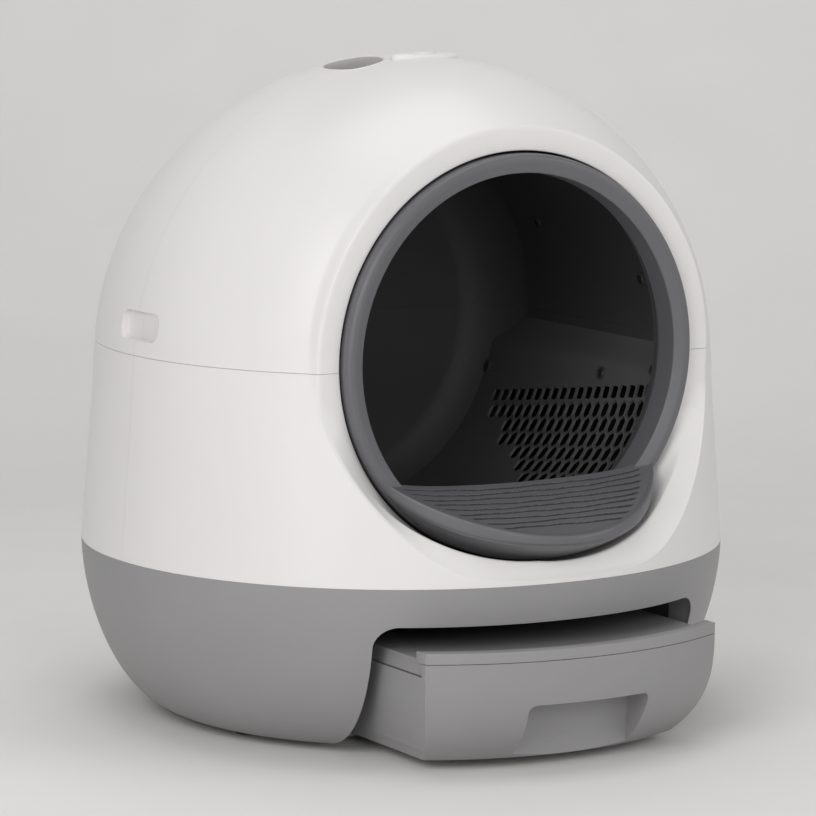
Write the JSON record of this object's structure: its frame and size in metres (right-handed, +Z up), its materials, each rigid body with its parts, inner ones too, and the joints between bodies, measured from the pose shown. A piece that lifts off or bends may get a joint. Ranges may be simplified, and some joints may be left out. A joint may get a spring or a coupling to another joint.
{
  "type": "self cleaning litter box",
  "caption": "Domed self cleaning litter box: a geared drum with a sieve and an entry step turns in a housing over a sliding waste drawer.",
  "frame": {"origin": "on the floor, in the middle of the plan of the whole object with its drawer partly pulled out", "axes": "+Z up, +Y from the entrance towards the back, +X to the right when facing the entrance"},
  "size_m": [0.528, 0.5548, 0.5416],
  "materials": {
    "white_shell": "fine satin moulded plastic",
    "grey_base": "fine grained moulded plastic",
    "dark_ring": "satin moulded plastic",
    "drum_plastic": "satin dark moulded plastic",
    "inner_plastic": "plain moulded plastic",
    "gear_plastic": "natural acetal",
    "steel": "plain steel",
    "rubber": "matt rubber",
    "board": "coated circuit board",
    "panel": "dark smooth window"
  },
  "bodies": {
    "housing": {"base_tub": "grey_base", "drawer_bay": "inner_plastic", "chassis_deck": "inner_plastic", "chute_seal": "rubber", "foot_front_left": "rubber", "foot_front_right": "rubber", "foot_back_left": "rubber", "foot_back_right": "rubber", "load_cell_front_left": "steel", "load_cell_front_right": "steel", "load_cell_back_left": "steel", "load_cell_back_right": "steel", "lower_housing": "white_shell", "upper_housing": "white_shell", "control_pad": "white_shell", "control_board": "board", "status_panel": "panel", "driver_board": "board", "power_inlet": "inner_plastic", "motor_bracket": "steel", "gear_motor": "steel", "roller_bracket_front_left": "inner_plastic", "roller_bracket_front_right": "inner_plastic", "roller_bracket_back_left": "inner_plastic", "roller_bracket_back_right": "inner_plastic", "roller_axle_front_left": "steel", "roller_axle_front_right": "steel", "roller_axle_back_left": "steel", "roller_axle_back_right": "steel"},
    "drum": {"drum_lower_shell": "drum_plastic", "drum_upper_shell": "drum_plastic", "entry_ring": "dark_ring", "sieve_screen": "dark_ring", "ring_gear": "gear_plastic"},
    "pinion": {"drive_pinion": "gear_plastic"},
    "drawer": {"waste_drawer": "grey_base", "bag_frame": "grey_base"},
    "button": {"push_button": "dark_ring"},
    "roller_front_left": {"roller_front_left": "rubber"},
    "roller_front_right": {"roller_front_right": "rubber"},
    "roller_back_left": {"roller_back_left": "rubber"},
    "roller_back_right": {"roller_back_right": "rubber"}
  },
  "joints": [
    {"name": "drum_spin", "type": "hinge", "parent": "housing", "child": "drum", "pos_m": [0, 0.02037, 0.3105], "axis": [0, 1, 0], "continuous": true},
    {"name": "pinion_spin", "type": "hinge", "parent": "housing", "child": "pinion", "pos_m": [-0.15528, 0.10537, 0.15522], "axis": [0, 1, 0], "continuous": true},
    {"name": "drawer_slide", "type": "slide", "parent": "housing", "child": "drawer", "axis": [0, -1, 0], "range_m": [-0.046, 0.2]},
    {"name": "button_press", "type": "slide", "parent": "housing", "child": "button", "axis": [0, 0, -1], "range_m": [0, 0.0015], "stiffness_N_per_m": 400, "springref_m": -0.001},
    {"name": "roller_spin_front_left", "type": "hinge", "parent": "housing", "child": "roller_front_left", "pos_m": [-0.13004, -0.06763, 0.15553], "axis": [0, 1, 0], "continuous": true},
    {"name": "roller_spin_front_right", "type": "hinge", "parent": "housing", "child": "roller_front_right", "pos_m": [0.13004, -0.06763, 0.15553], "axis": [0, 1, 0], "continuous": true},
    {"name": "roller_spin_back_left", "type": "hinge", "parent": "housing", "child": "roller_back_left", "pos_m": [-0.13004, 0.07837, 0.15553], "axis": [0, 1, 0], "continuous": true},
    {"name": "roller_spin_back_right", "type": "hinge", "parent": "housing", "child": "roller_back_right", "pos_m": [0.13004, 0.07837, 0.15553], "axis": [0, 1, 0], "continuous": true}
  ],
  "couplings": [
    {"joint": "pinion_spin", "follows": "drum_spin", "ratio": -8},
    {"joint": "roller_spin_front_left", "follows": "drum_spin", "ratio": -15.833},
    {"joint": "roller_spin_front_right", "follows": "drum_spin", "ratio": -15.833},
    {"joint": "roller_spin_back_left", "follows": "drum_spin", "ratio": -15.833},
    {"joint": "roller_spin_back_right", "follows": "drum_spin", "ratio": -15.833}
  ]
}
